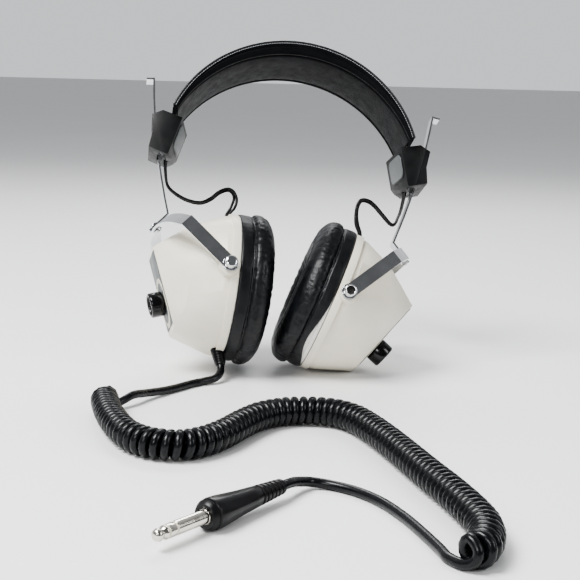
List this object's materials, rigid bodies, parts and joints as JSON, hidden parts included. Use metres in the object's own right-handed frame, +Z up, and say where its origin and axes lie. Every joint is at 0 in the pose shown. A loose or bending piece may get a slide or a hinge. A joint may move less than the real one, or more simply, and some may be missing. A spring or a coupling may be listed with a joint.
{
  "type": "stereo headphones",
  "caption": "Headphones with a padded headband, sliding straps, swivelling yokes, closed ear cups with a volume knob each, and a curly cord with a jack plug.",
  "frame": {"origin": "middle of the headphones' own footprint on the floor, without the cord", "axes": "+Z up, -Y towards the wearer's front and the cord, the left cup at -X"},
  "size_m": [0.239, 0.4491, 0.2208],
  "materials": {
    "headband_leather": "padded black vinyl leather, fine grain, satin",
    "pad_leather": "soft glossy black vinyl leather with fine wrinkles",
    "foam": "grey open cell foam",
    "spring_steel": "plain spring steel",
    "chrome": "bright nickel chrome plating",
    "block_plastic": "black moulded plastic, fine texture",
    "label_grey": "grey satin panel",
    "shell_cream": "cream moulded plastic, smooth satin gloss",
    "baffle_white": "white moulded plastic",
    "driver_steel": "black painted steel",
    "driver_cone": "treated paper cone",
    "brass": "plated brass shaft and can",
    "knob_plastic": "glossy black moulded plastic",
    "wire_black": "black two core wire",
    "cord_rubber": "black vinyl cord, glossy",
    "plug_plastic": "black moulded plug body, semi gloss",
    "nickel": "nickel plated plug contacts",
    "insulator": "pale plastic insulating rings"
  },
  "bodies": {
    "headband": {"headband_cover": "headband_leather", "headband_foam": "foam", "headband_spring": "spring_steel", "crossover_wire": "wire_black", "left_slider_body": "block_plastic", "right_slider_body": "block_plastic", "left_slider_cover": "block_plastic", "right_slider_cover": "block_plastic", "left_slider_plate": "label_grey", "right_slider_plate": "label_grey", "slider_screws": "spring_steel", "slider_leaf_springs": "spring_steel"},
    "left_strap": {"left_strap": "chrome", "left_swivel_rivet": "chrome"},
    "right_strap": {"right_strap": "chrome", "right_swivel_rivet": "chrome"},
    "left_yoke": {"left_yoke": "chrome", "left_yoke_washers": "chrome"},
    "right_yoke": {"right_yoke": "chrome", "right_yoke_washers": "chrome"},
    "left_cup": {"left_shell": "shell_cream", "left_baffle": "baffle_white", "left_baffle_screws": "spring_steel", "left_driver_basket": "driver_steel", "left_driver_magnet": "driver_steel", "left_driver_cone": "driver_cone", "left_driver_foam": "foam", "left_ear_pad": "pad_leather", "left_pivot_screws": "chrome", "left_face_plate": "label_grey", "left_volume_control": "brass", "left_wire_grommet": "cord_rubber", "left_jumper_wire": "wire_black", "cord_strain_relief": "cord_rubber", "cord_lead": "cord_rubber", "cord_coil": "cord_rubber", "cord_tail": "cord_rubber", "plug_barrel": "plug_plastic", "plug_sleeve": "nickel", "plug_ring": "nickel", "plug_tip": "nickel", "plug_insulators": "insulator"},
    "right_cup": {"right_shell": "shell_cream", "right_baffle": "baffle_white", "right_baffle_screws": "spring_steel", "right_driver_basket": "driver_steel", "right_driver_magnet": "driver_steel", "right_driver_cone": "driver_cone", "right_driver_foam": "foam", "right_ear_pad": "pad_leather", "right_pivot_screws": "chrome", "right_face_plate": "label_grey", "right_volume_control": "brass", "right_wire_grommet": "cord_rubber", "right_jumper_wire": "wire_black"},
    "left_knob": {"left_knob": "knob_plastic"},
    "right_knob": {"right_knob": "knob_plastic"}
  },
  "joints": [
    {"name": "left_cup_tilt", "type": "hinge", "parent": "left_cup", "child": "left_yoke", "pos_m": [-0.05433, -0.01465, 0.05475], "axis": [-0.0964, 0.8767, -0.4714], "range_deg": [-10, 15], "deforming": ["left_jumper_wire"]},
    {"name": "left_yoke_swivel", "type": "hinge", "parent": "left_yoke", "child": "left_strap", "pos_m": [-0.09497, 0.00172, 0.09351], "axis": [-0.6947, 0.2799, 0.6626], "range_deg": [-8.6, 30]},
    {"name": "left_strap_slide", "type": "hinge", "parent": "left_strap", "child": "headband", "pos_m": [0.37392, 0.04106, 0.18662], "axis": [0, -0.9212, 0.3891], "range_deg": [-0.8, 3.6]},
    {"name": "right_strap_slide", "type": "hinge", "parent": "headband", "child": "right_strap", "pos_m": [-0.35838, 0.07605, 0.26945], "axis": [0, -0.9212, 0.3891], "range_deg": [-0.8, 3.6]},
    {"name": "right_yoke_swivel", "type": "hinge", "parent": "right_strap", "child": "right_yoke", "pos_m": [0.07287, -0.0061, 0.07499], "axis": [0.809, 0.2287, 0.5415], "range_deg": [-13, 24.1]},
    {"name": "right_cup_tilt", "type": "hinge", "parent": "right_yoke", "child": "right_cup", "pos_m": [0.02554, -0.01948, 0.04332], "axis": [-0.0092, 0.926, -0.3774], "range_deg": [-18, 8.3], "deforming": ["right_jumper_wire"]},
    {"name": "left_knob_turn", "type": "hinge", "parent": "left_cup", "child": "left_knob", "pos_m": [-0.08963, -0.02273, 0.04694], "axis": [-0.9661, -0.1964, -0.1678], "range_deg": [-150, 150]},
    {"name": "right_knob_turn", "type": "hinge", "parent": "right_cup", "child": "right_knob", "pos_m": [0.05092, -0.02944, 0.01825], "axis": [0.7208, -0.2554, -0.6444], "range_deg": [-150, 150]}
  ]
}
